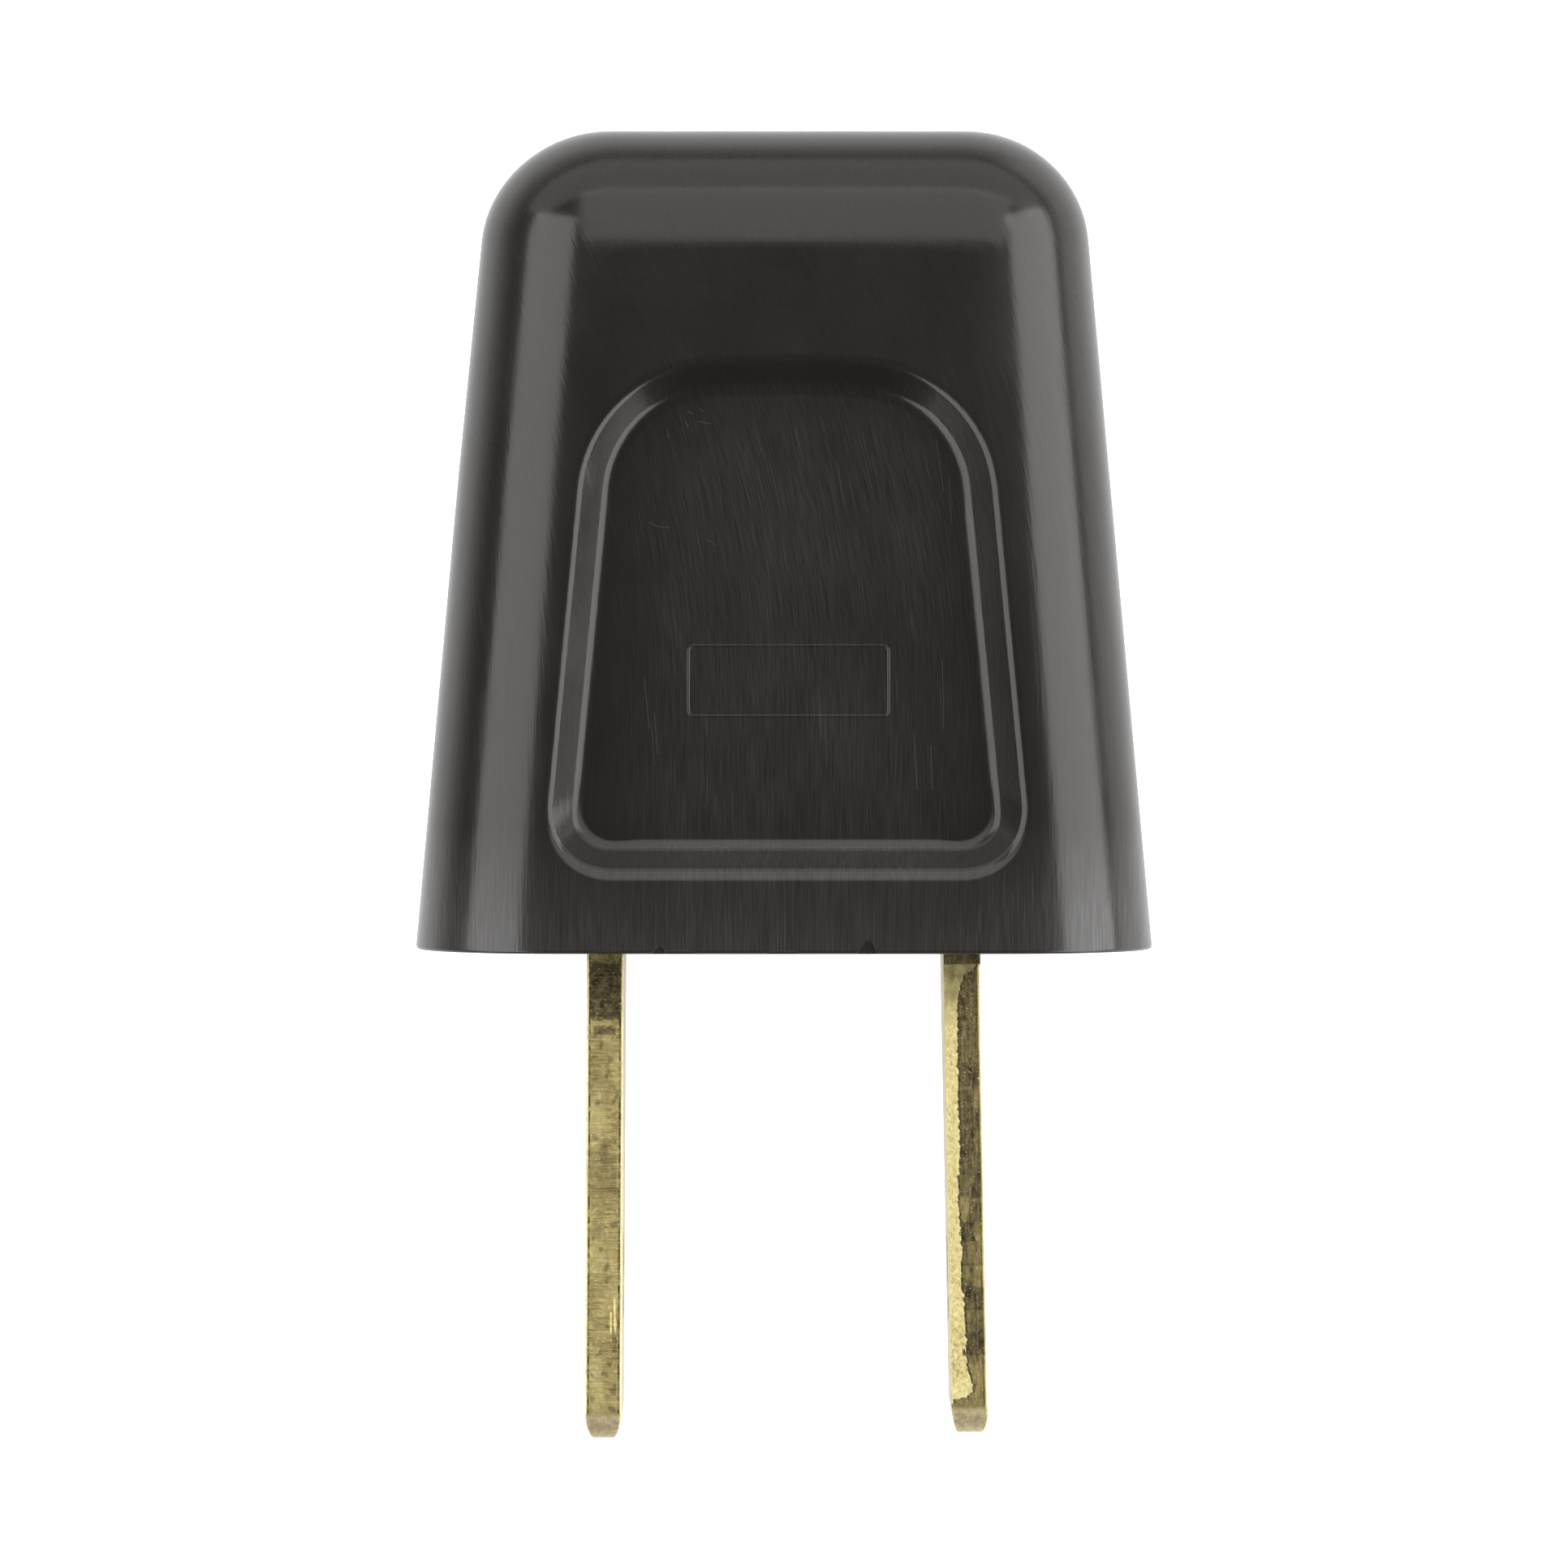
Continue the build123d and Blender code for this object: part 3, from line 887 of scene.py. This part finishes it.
def make_blade(node):
    """A blade with its tail, ears, spur, hole and worn edges, whose marks include painted highlights and
    shade.
    """
    side = BLADE_SIDE[node]
    centre = BLADE_CENTRE[node]
    lean = radians(BLADE_LEAN[node])
    rows, length = blade_rows(node)
    half = BLADE_THICKNESS / 2
    points = []
    marks = []
    for down, width in rows:
        thickness = min(half, between(TIP_SHAPE[node], length - down))
        tip = 1 - ramp(length - down, *COINED)
        for x, z, u in blade_ring(thickness, width):
            bright, dark, depth = wear_and_painted_light_at(node, down, z, u)
            depth *= 1 - tip
            z -= copysign(depth, z)
            if down > 0:
                px = side * (centre + sin(lean) * down) + cos(lean) * x
                py = -cos(lean) * down + sin(lean) * x * side
            else:
                px = side * centre + x
                py = -down
            points.append((px, py, z))
            sheared = 0.0 if u is None else 1.0
            marks.append((bright * (1 - tip) + 0.3 * tip, dark * (1 - tip), tip, sheared))
    blade = mesh_object(f"{node}_strip", points, ring_faces(len(rows), len(points) // len(rows)))
    face_outwards(blade)
    for index, name in enumerate(("bright", "dark", "coined", "sheared")):
        layer = blade.data.attributes.new(name, "FLOAT", "POINT")
        layer.data.foreach_set("value", [mark[index] for mark in marks])
    hole_x = side * (centre + sin(lean) * HOLE_REACH)
    turns = [2 * pi * i / HOLE_STEPS for i in range(HOLE_STEPS)]
    ring = [(HOLE_RADIUS * cos(turn), HOLE_RADIUS * sin(turn)) for turn in turns]
    drill = stacked("drill", [(-2, ring), (2, ring)])
    turned = Matrix.Rotation(-pi / 2 + side * lean, 4, "Z")
    drill.data.transform(Matrix.Translation(Vector((hole_x, -HOLE_REACH, 0)) * MM) @ turned)
    combine(blade, drill, "DIFFERENCE")
    inner = side * (centre - half)
    spur = []
    for reach, tall, deep in ((-0.3, 1.1, 0.6), (0, 1.1, 0.6), (SPUR_REACH, 0.15, 0.15)):
        outline = [(tall, deep), (-tall, deep), (-tall, -deep), (tall, -deep)]
        spur.append((reach, outline))
    prong = stacked("prong", spur)
    turned = Matrix(((0, -side, 0, inner * MM), (1, 0, 0, SPUR_PLACE * MM), (0, 0, 1, 0), (0, 0, 0, 1)))
    prong.data.transform(turned)
    face_outwards(prong)
    combine(blade, prong, "UNION")
    shade(blade)
    return blade


# Materials

# Colours of the brass, with tones for painted highlights and shade among them
GRAIN_TONES = ((0.24, 0.18, 0.06, 1), (0.6, 0.5, 0.215, 1))
MOTTLE_TONE = (0.2, 0.152, 0.065, 1)
POLISHED_TONES = ((0.7, 0.59, 0.235, 1), (0.9, 0.79, 0.4, 1))
PIT_SHADE_TONE = (0.45, 0.36, 0.155, 1)
PEBBLE_HIGHLIGHT_TONE = (0.98, 0.9, 0.55, 1)
EDGE_HIGHLIGHT_TONE = (0.97, 0.92, 0.68, 1)
TARNISH_AND_SHADE_TONES = ((0.026, 0.021, 0.012, 1), (0.2, 0.163, 0.08, 1))
BLACK_TONE = (0.03, 0.024, 0.014, 1)
COIN_TONES = ((0.52, 0.43, 0.25, 1), (0.8, 0.69, 0.42, 1))
FLECK_TONE = (0.9, 0.8, 0.42, 1)
ROLLED_TONES = ((0.57, 0.51, 0.36, 1), (0.76, 0.71, 0.55, 1))
STAIN_TONE = (0.4, 0.31, 0.16, 1)


def new_material(name):
    material = bpy.data.materials.new(name)
    material.use_nodes = True
    tree = material.node_tree
    return material, tree, tree.nodes["Principled BSDF"]


def dress(thing, material):
    """Give a thing this one material."""
    thing.data.materials.clear()
    thing.data.materials.append(material)


def fill(tree, socket, value):
    """Link an input to an output, or give it a constant."""
    if isinstance(value, bpy.types.NodeSocket):
        tree.links.new(value, socket)
    else:
        socket.default_value = value


def set_values(tree, node, **values):
    """Set some of a node's properties, and fill some of its inputs."""
    for key, value in values.items():
        if hasattr(node, key):
            setattr(node, key, value)
        else:
            fill(tree, node.inputs[key.replace("_", " ")], value)
    return node


def add_node(tree, kind, **values):
    return set_values(tree, tree.nodes.new(kind), **values)


def attribute(tree, name):
    return add_node(tree, "ShaderNodeAttribute", attribute_name=name).outputs["Fac"]


def blend(tree, share, first, second):
    """A colour between two colours; each may be a socket or a constant."""
    node = add_node(tree, "ShaderNodeMix", data_type="RGBA")
    for index, value in ((0, share), (6, first), (7, second)):
        fill(tree, node.inputs[index], value)
    return node.outputs[2]


def rescale(tree, value, low, high, to_low, to_high):
    """A value's range from low to high, taken to another range."""
    limits = {"From_Min": low, "From_Max": high, "To_Min": to_low, "To_Max": to_high}
    return add_node(tree, "ShaderNodeMapRange", Value=value, **limits).outputs["Result"]


def tones(tree, value, low, high, first, second, share=1.0):
    """A colour that goes this share of the way to the second one while a value goes from low to high."""
    return blend(tree, rescale(tree, value, low, high, 0.0, share), first, second)


def object_place(tree):
    return add_node(tree, "ShaderNodeTexCoord").outputs["Object"]


def object_axis(tree, axis):
    """One coordinate of the point in object space, in metres."""
    return add_node(tree, "ShaderNodeSeparateXYZ", Vector=object_place(tree)).outputs[axis]


def stretched_noise(tree, scale, detail=3.0, roughness=0.6, place=None):
    """Noise in object space, or over a bent copy of it, with its own scale along each axis, per metre."""
    stretch = add_node(tree, "ShaderNodeMapping", Scale=scale, Vector=place or object_place(tree))
    spread = {"Scale": 1.0, "Detail": detail, "Roughness": roughness}
    node = add_node(tree, "ShaderNodeTexNoise", Vector=stretch.outputs["Vector"], **spread)
    return node.outputs["Fac"]


def ranged_noise(tree, scale, limits, *kind):
    """Stretched noise with its range rescaled."""
    return rescale(tree, stretched_noise(tree, scale, *kind), *limits)


def arithmetic(tree, operation, first, second=0.0):
    node = add_node(tree, "ShaderNodeMath", operation=operation)
    for socket, value in zip(node.inputs, (first, second)):
        fill(tree, socket, value)
    return node.outputs["Value"]


def times(tree, first, second):
    return arithmetic(tree, "MULTIPLY", first, second)


def plus(tree, first, second):
    return arithmetic(tree, "ADD", first, second)


def vectors(tree, operation, first, second):
    """Arithmetic with vectors, whose result may be a number."""
    node = add_node(tree, "ShaderNodeVectorMath", operation=operation)
    fill(tree, node.inputs[0], first)
    fill(tree, node.inputs["Scale" if operation == "SCALE" else 1], second)
    return node.outputs["Value" if operation in ("DOT_PRODUCT", "DISTANCE") else "Vector"]


def brass_material(name, grain_scale):
    """Rolled brass strip: burnished and torn along its sheared edges, browner on its coined tips, with
    painted highlights and shade on the edges.
    """
    material, tree, shader = new_material(name)
    bright = attribute(tree, "bright")
    dark = attribute(tree, "dark")
    sheared = attribute(tree, "sheared")
    grain = stretched_noise(tree, grain_scale, 5.0, 0.75)
    mottle = stretched_noise(tree, (1800, 1300, 1800), 4.0, 0.65)
    speck = stretched_noise(tree, (14000, 14000, 14000))
    pebbles = stretched_noise(tree, (6500, 5000, 6500))
    blotch = stretched_noise(tree, (5200, 4200, 5200), 4.0, 0.7)
    rolling = stretched_noise(tree, (600, 260, 9000), 4.0)
    stain = stretched_noise(tree, (700, 420, 520), 5.0, 0.7)
    colour = tones(tree, grain, 0.36, 0.64, *GRAIN_TONES)
    colour = tones(tree, mottle, 0.38, 0.66, colour, MOTTLE_TONE, 0.55)
    burnish_and_painted_relief = tones(tree, mottle, 0.3, 0.7, *POLISHED_TONES)
    # Painted highlight and shade: the pebbles' hollows are darkened and their tops lightened in the
    # colour, besides their bump below
    burnish_and_painted_relief = tones(tree, pebbles, 0.52, 0.68, burnish_and_painted_relief, PIT_SHADE_TONE, 0.42)
    burnish_and_painted_relief = tones(tree, pebbles, 0.42, 0.32, burnish_and_painted_relief, PEBBLE_HIGHLIGHT_TONE, 0.55)
    colour = blend(tree, bright, colour, burnish_and_painted_relief)
    # Painted highlight: the edge lines above 1 go towards a near white tone
    colour = tones(tree, bright, 1.0, EDGE_HIGHLIGHT, colour, EDGE_HIGHLIGHT_TONE, 0.75)
    streak = plus(tree, times(tree, grain, 0.45), times(tree, blotch, 0.55))
    # Dark marks take these tones: tarnish, and painted shade at the top of the wide blade next to the rim
    colour = blend(tree, dark, colour, tones(tree, streak, 0.4, 0.64, *TARNISH_AND_SHADE_TONES))
    colour = tones(tree, dark, 1.0, BLACK, colour, BLACK_TONE, 0.85)
    coin = tones(tree, blotch, 0.36, 0.64, *COIN_TONES)
    colour = blend(tree, attribute(tree, "coined"), colour, coin)
    flecks = times(tree, rescale(tree, speck, 0.62, 0.72, 0, 0.75), sheared)
    colour = blend(tree, flecks, colour, FLECK_TONE)
    face = tones(tree, rolling, 0.36, 0.64, *ROLLED_TONES)
    face = tones(tree, stain, 0.5, 0.68, face, STAIN_TONE, 0.6)
    colour = blend(tree, arithmetic(tree, "SUBTRACT", 1.0, sheared), colour, face)
    relief = times(tree, times(tree, pebbles, bright), -2.2)
    height = plus(tree, plus(tree, grain, times(tree, speck, 0.8)), relief)
    bump = add_node(tree, "ShaderNodeBump", Strength=0.8, Distance=0.00002, Height=height)
    rough = rescale(tree, bright, 0, 1, 0.48, 0.52)
    normal = bump.outputs["Normal"]
    set_values(tree, shader, Base_Color=colour, Metallic=0.85, Roughness=rough, Normal=normal)
    return material


# Single scratches and scuffs in the recess: both ends and how strong each is
SCRATCHES = (
    (4.64, 7.36, 4.73, 5.83, 1.0), (5.22, 7.36, 5.27, 5.83, 1.0), (5.63, 10.43, 5.67, 7.99, 0.8),
    (4.6, 7.8, 4.66, 6.9, 0.7), (5.4, 18.2, 5.67, 16.4, 0.7), (5.86, 16.9, 5.95, 15.2, 0.6),
    (-4.97, 9.79, -4.79, 7.99, 0.9), (-4.61, 8.53, -4.48, 7.09, 0.9), (-4.72, 8.2, -4.6, 6.7, 0.6),
    (-4.79, 15.3, -4.45, 15.15, 0.9), (-4.45, 15.15, -4.1, 15.13, 0.8), (-2.71, 14.7, -2.41, 14.48, 0.7),
    (-3.43, 19.26, -3.26, 19.17, 1.0), (-2.98, 19.35, -2.84, 19.24, 1.0), (-3.07, 18.9, -2.62, 18.81, 0.9),
    (-3.5, 18.86, -3.4, 18.7, 0.9), (-4.16, 18.63, -4.1, 18.3, 0.9), (-2.3, 16.9, -2.18, 15.6, 0.5),
    (0.4, 18.6, 0.62, 16.9, 0.5), (1.9, 17.4, 2.12, 15.9, 0.5), (-0.6, 13.9, -0.42, 12.2, 0.45),
)
# A scratch's mark is full up to the first distance from its line and gone at the second, in metres
SCRATCH_REACH = (0.0000064, 0.000024)


def scratch_marks(tree):
    """How strongly each point is marked by the single scratches."""
    flat = vectors(tree, "MULTIPLY", object_place(tree), (1, 1, 0))
    total = None
    for first_x, first_y, last_x, last_y, strength in SCRATCHES:
        along = Vector((last_x - first_x, last_y - first_y, 0)) * MM
        offset = vectors(tree, "SUBTRACT", flat, Vector((first_x, first_y, 0)) * MM)
        share = vectors(tree, "DOT_PRODUCT", offset, along / along.length_squared)
        near = vectors(tree, "SCALE", along, rescale(tree, share, 0.0, 1.0, 0.0, 1.0))
        apart = vectors(tree, "DISTANCE", offset, near)
        mark = rescale(tree, apart, *SCRATCH_REACH, strength, 0.0)
        total = mark if total is None else arithmetic(tree, "MAXIMUM", total, mark)
    return times(tree, total, rescale(tree, object_axis(tree, "Z"), 0.005, 0.0055, 0.0, 1.0))


HAIR_BEND_START = 0.008
HAIR_BEND = 13.0


def bent_place(tree):
    """Object space with its X moved along a curve, so that the hairs lean over towards the crown."""
    across, along, deep = [object_axis(tree, axis) for axis in "XYZ"]
    over = arithmetic(tree, "MAXIMUM", arithmetic(tree, "SUBTRACT", along, HAIR_BEND_START))
    moved = plus(tree, across, times(tree, times(tree, over, over), HAIR_BEND))
    return add_node(tree, "ShaderNodeCombineXYZ", X=moved, Y=along, Z=deep).outputs["Vector"]


def plastic_material():
    """Dark brown glossy plastic, with rubbed hairs along its length and a haze; places are in metres."""
    material, tree, shader = new_material("brown_gloss_plastic")
    across = object_axis(tree, "X")
    along = object_axis(tree, "Y")
    from_middle = arithmetic(tree, "ABSOLUTE", arithmetic(tree, "SUBTRACT", across, 0.0008))
    pocket = rescale(tree, from_middle, 0.0042, 0.0072, 1.0, 0.0)
    pocket = times(tree, pocket, rescale(tree, along, 0.0215, 0.0175, 0.0, 1.0))
    foot = rescale(tree, along, 0.0045, 0.0005, 0.0, 1.3)
    patchy = ranged_noise(tree, (420, 160, 300), (0.35, 0.65, 0.55, 1.0), 2.0)
    rubbed = times(tree, arithmetic(tree, "MAXIMUM", pocket, foot), patchy)
    bent = bent_place(tree)
    fine = ranged_noise(tree, (22000, 520, 3000), (0.36, 0.66, 0.1, 1.6), 3.0, 0.65, bent)
    long_hairs = ranged_noise(tree, (24000, 300, 3000), (0.6, 0.68, 0.0, 2.2), 2.0, 0.5, bent)
    bundles = ranged_noise(tree, (900, 260, 500), (0.5, 0.62, 0.0, 1.0), 2.0, 0.6, bent)
    hairs = plus(tree, fine, times(tree, long_hairs, bundles))
    haze = times(tree, plus(tree, rubbed, 0.14), hairs)
    haze = plus(tree, haze, times(tree, foot, 0.6))
    cross_hairs = ranged_noise(tree, (300, 5200, 3000), (0.3, 0.7, 0.0, 0.12))
    upper = rescale(tree, along, 0.0205, 0.0225, 0.0, 1.0)
    haze = plus(tree, haze, times(tree, cross_hairs, upper))
    haze = plus(tree, haze, times(tree, scratch_marks(tree), 2.6))
    tone = ranged_noise(tree, (260, 160, 260), (0.3, 0.7, 0.0, 1.0), 2.0)
    from_parting = arithmetic(tree, "ABSOLUTE", object_axis(tree, "Z"))
    flash = rescale(tree, from_parting, 0.00006, 0.00009, 1.0, 0.0)
    flash = times(tree, flash, rescale(tree, across, -0.0115, -0.0119, 0.0, 1.0))
    flash = times(tree, flash, rescale(tree, along, 0.0118, 0.0108, 0.0, 1.0))
    glossy = arithmetic(tree, "SUBTRACT", 1.0, flash)
    hair_bump = stretched_noise(tree, (9000, 420, 9000), place=bent)
    bump = add_node(tree, "ShaderNodeBump", Strength=0.12, Distance=0.00003, Height=hair_bump)
    normal = bump.outputs["Normal"]
    colour = blend(tree, tone, (0.0138, 0.0114, 0.0096, 1), (0.0158, 0.013, 0.0109, 1))
    level = times(tree, rescale(tree, haze, 0.0, 4.0, 0.01, 0.83), glossy)
    smear = ranged_noise(tree, (500, 300, 500), (0.3, 0.7, 0.15, 0.21))
    set_values(tree, shader, Base_Color=colour, Roughness=0.5, IOR=1.5, Specular_IOR_Level=level)
    set_values(tree, shader, Coat_Weight=times(tree, glossy, 0.86), Coat_Roughness=smear, Coat_IOR=1.5)
    set_values(tree, shader, Normal=normal, Coat_Normal=normal)
    return material


def core_material():
    """The core's brown plastic: satin, with a spark-eroded grain and a slight flow of tone."""
    material, tree, shader = new_material("brown_satin_plastic")
    flow = ranged_noise(tree, (300, 140, 300), (0.3, 0.7, 0.0, 1.0))
    colour = blend(tree, flow, (0.026, 0.0205, 0.0165, 1), (0.036, 0.028, 0.0225, 1))
    grain = stretched_noise(tree, (6500, 6500, 6500))
    rough = rescale(tree, grain, 0.3, 0.7, 0.34, 0.5)
    bevel = add_node(tree, "ShaderNodeBevel", Radius=0.00012).outputs["Normal"]
    bump = add_node(tree, "ShaderNodeBump", Strength=0.35, Distance=0.00002, Height=grain, Normal=bevel)
    set_values(tree, shader, Base_Color=colour, Roughness=rough, Normal=bump.outputs["Normal"])
    return material


shell = make_shell()
dress(shell, plastic_material())
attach(shell, "shell")
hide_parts("shell")

brass = {
    "narrow_blade": brass_material("cross_grained_brass", (1200, 14000, 1200)),
    "wide_blade": brass_material("torn_brass", (9000, 1600, 9000)),
}
for node, material in brass.items():
    blade = make_blade(node)
    dress(blade, material)
    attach(blade, "core")
    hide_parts(node)

dress(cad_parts["core"], core_material())

# Floor, lights and surroundings

FLOOR_HALF = 900
FLOOR_Z = -HALF_DEPTH - 0.01
floor_signs = ((-1, -1), (1, -1), (1, 1), (-1, 1))
floor_points = [(x * FLOOR_HALF, y * FLOOR_HALF, FLOOR_Z) for x, y in floor_signs]
floor = mesh_object("floor", floor_points, [(0, 1, 2, 3)])
pale, tree, shader = new_material("pale_floor")
set_values(tree, shader, Base_Color=(0.92, 0.92, 0.92, 1), Roughness=0.9)
set_values(tree, shader, Emission_Color=(1, 1, 1, 1), Emission_Strength=0.8)
dress(floor, pale)
floor.visible_glossy = False

LIGHT_DISTANCE = 500
# Name, heading, lowest and highest angle from straight above, reach to the right and left, and radiance
LIGHTS = (
    ("left_light", 180, 34, 79, 312, 700, 2.95),
    ("right_light", 0, 46, 93, 700, 312, 3.7),
    ("crown_light", 90, 9, 61, 470, 255, 1.6),
    ("far_light", 90, 58, 97, 900, 900, 1.1),
)


def softbox(name, heading, low, high, right, left, radiance):
    """A soft light seen from the plug between two angles from straight above, towards a heading."""
    middle = radians(low + high) / 2
    half = tan(radians(high - low) / 2) * LIGHT_DISTANCE
    turn = radians(heading)
    outward = Vector((cos(turn), sin(turn), 0))
    sideways = Vector((sin(turn), -cos(turn), 0))
    back = outward * sin(middle) + Vector((0, 0, cos(middle)))
    level = back.cross(sideways)
    light = bpy.data.lights.new(name, "AREA")
    light.shape = "RECTANGLE"
    light.size = (right + left) * MM
    light.size_y = 2 * half * MM
    light.energy = radiance * pi * light.size * light.size_y
    lamp = add_object(name, light)
    place = Vector((0, RECESS_MIDDLE, 0)) + back * LIGHT_DISTANCE + sideways * (right - left) / 2
    turned = Matrix((sideways, level, back)).transposed().to_4x4()
    lamp.matrix_world = Matrix.Translation(place * MM) @ turned
    lamp.visible_camera = False


for light in LIGHTS:
    softbox(*light)

# What reflections see beyond the lights: nothing above, and a bright table below the horizon
world = bpy.data.worlds.new("studio")
world.use_nodes = True
scene.world = world
sky = world.node_tree
direction = add_node(sky, "ShaderNodeTexCoord").outputs["Generated"]
parts = add_node(sky, "ShaderNodeSeparateXYZ", Vector=direction)
below = rescale(sky, parts.outputs["Z"], -0.1, -0.55, 0.02, 1.1)
sideward = rescale(sky, parts.outputs["X"], 0.1, 0.5, 0.0, 1.0)
under = rescale(sky, parts.outputs["Z"], -0.14, -0.26, 0.0, 1.2)
table = arithmetic(sky, "MAXIMUM", below, times(sky, sideward, under))
unlit = set_values(sky, sky.nodes["Background"], Color=table, Strength=1.0)
seen = add_node(sky, "ShaderNodeBackground", Color=(0.95, 0.95, 0.95, 1), Strength=1.0)
path = add_node(sky, "ShaderNodeLightPath")
mix = add_node(sky, "ShaderNodeMixShader", Fac=path.outputs["Is Camera Ray"])
fill(sky, mix.inputs[1], unlit.outputs["Background"])
fill(sky, mix.inputs[2], seen.outputs["Background"])
fill(sky, sky.nodes["World Output"].inputs["Surface"], mix.outputs["Shader"])

scene.view_settings.view_transform = "Standard"

lens = bpy.data.cameras.new("camera")
lens.sensor_width = SENSOR
lens.lens = SENSOR * CAMERA_DISTANCE / (PHOTO_SIZE / PHOTO_SCALE)
lens.clip_start = 0.01
lens.clip_end = 10
camera = add_object("camera", lens)
pitch = radians(CAMERA_PITCH)
raised = CAMERA_AIM + CAMERA_DISTANCE * sin(pitch)
camera.location = Vector((0, raised, CAMERA_DISTANCE * cos(pitch))) * MM
camera.rotation_euler = (-pitch, 0, 0)
scene.camera = camera
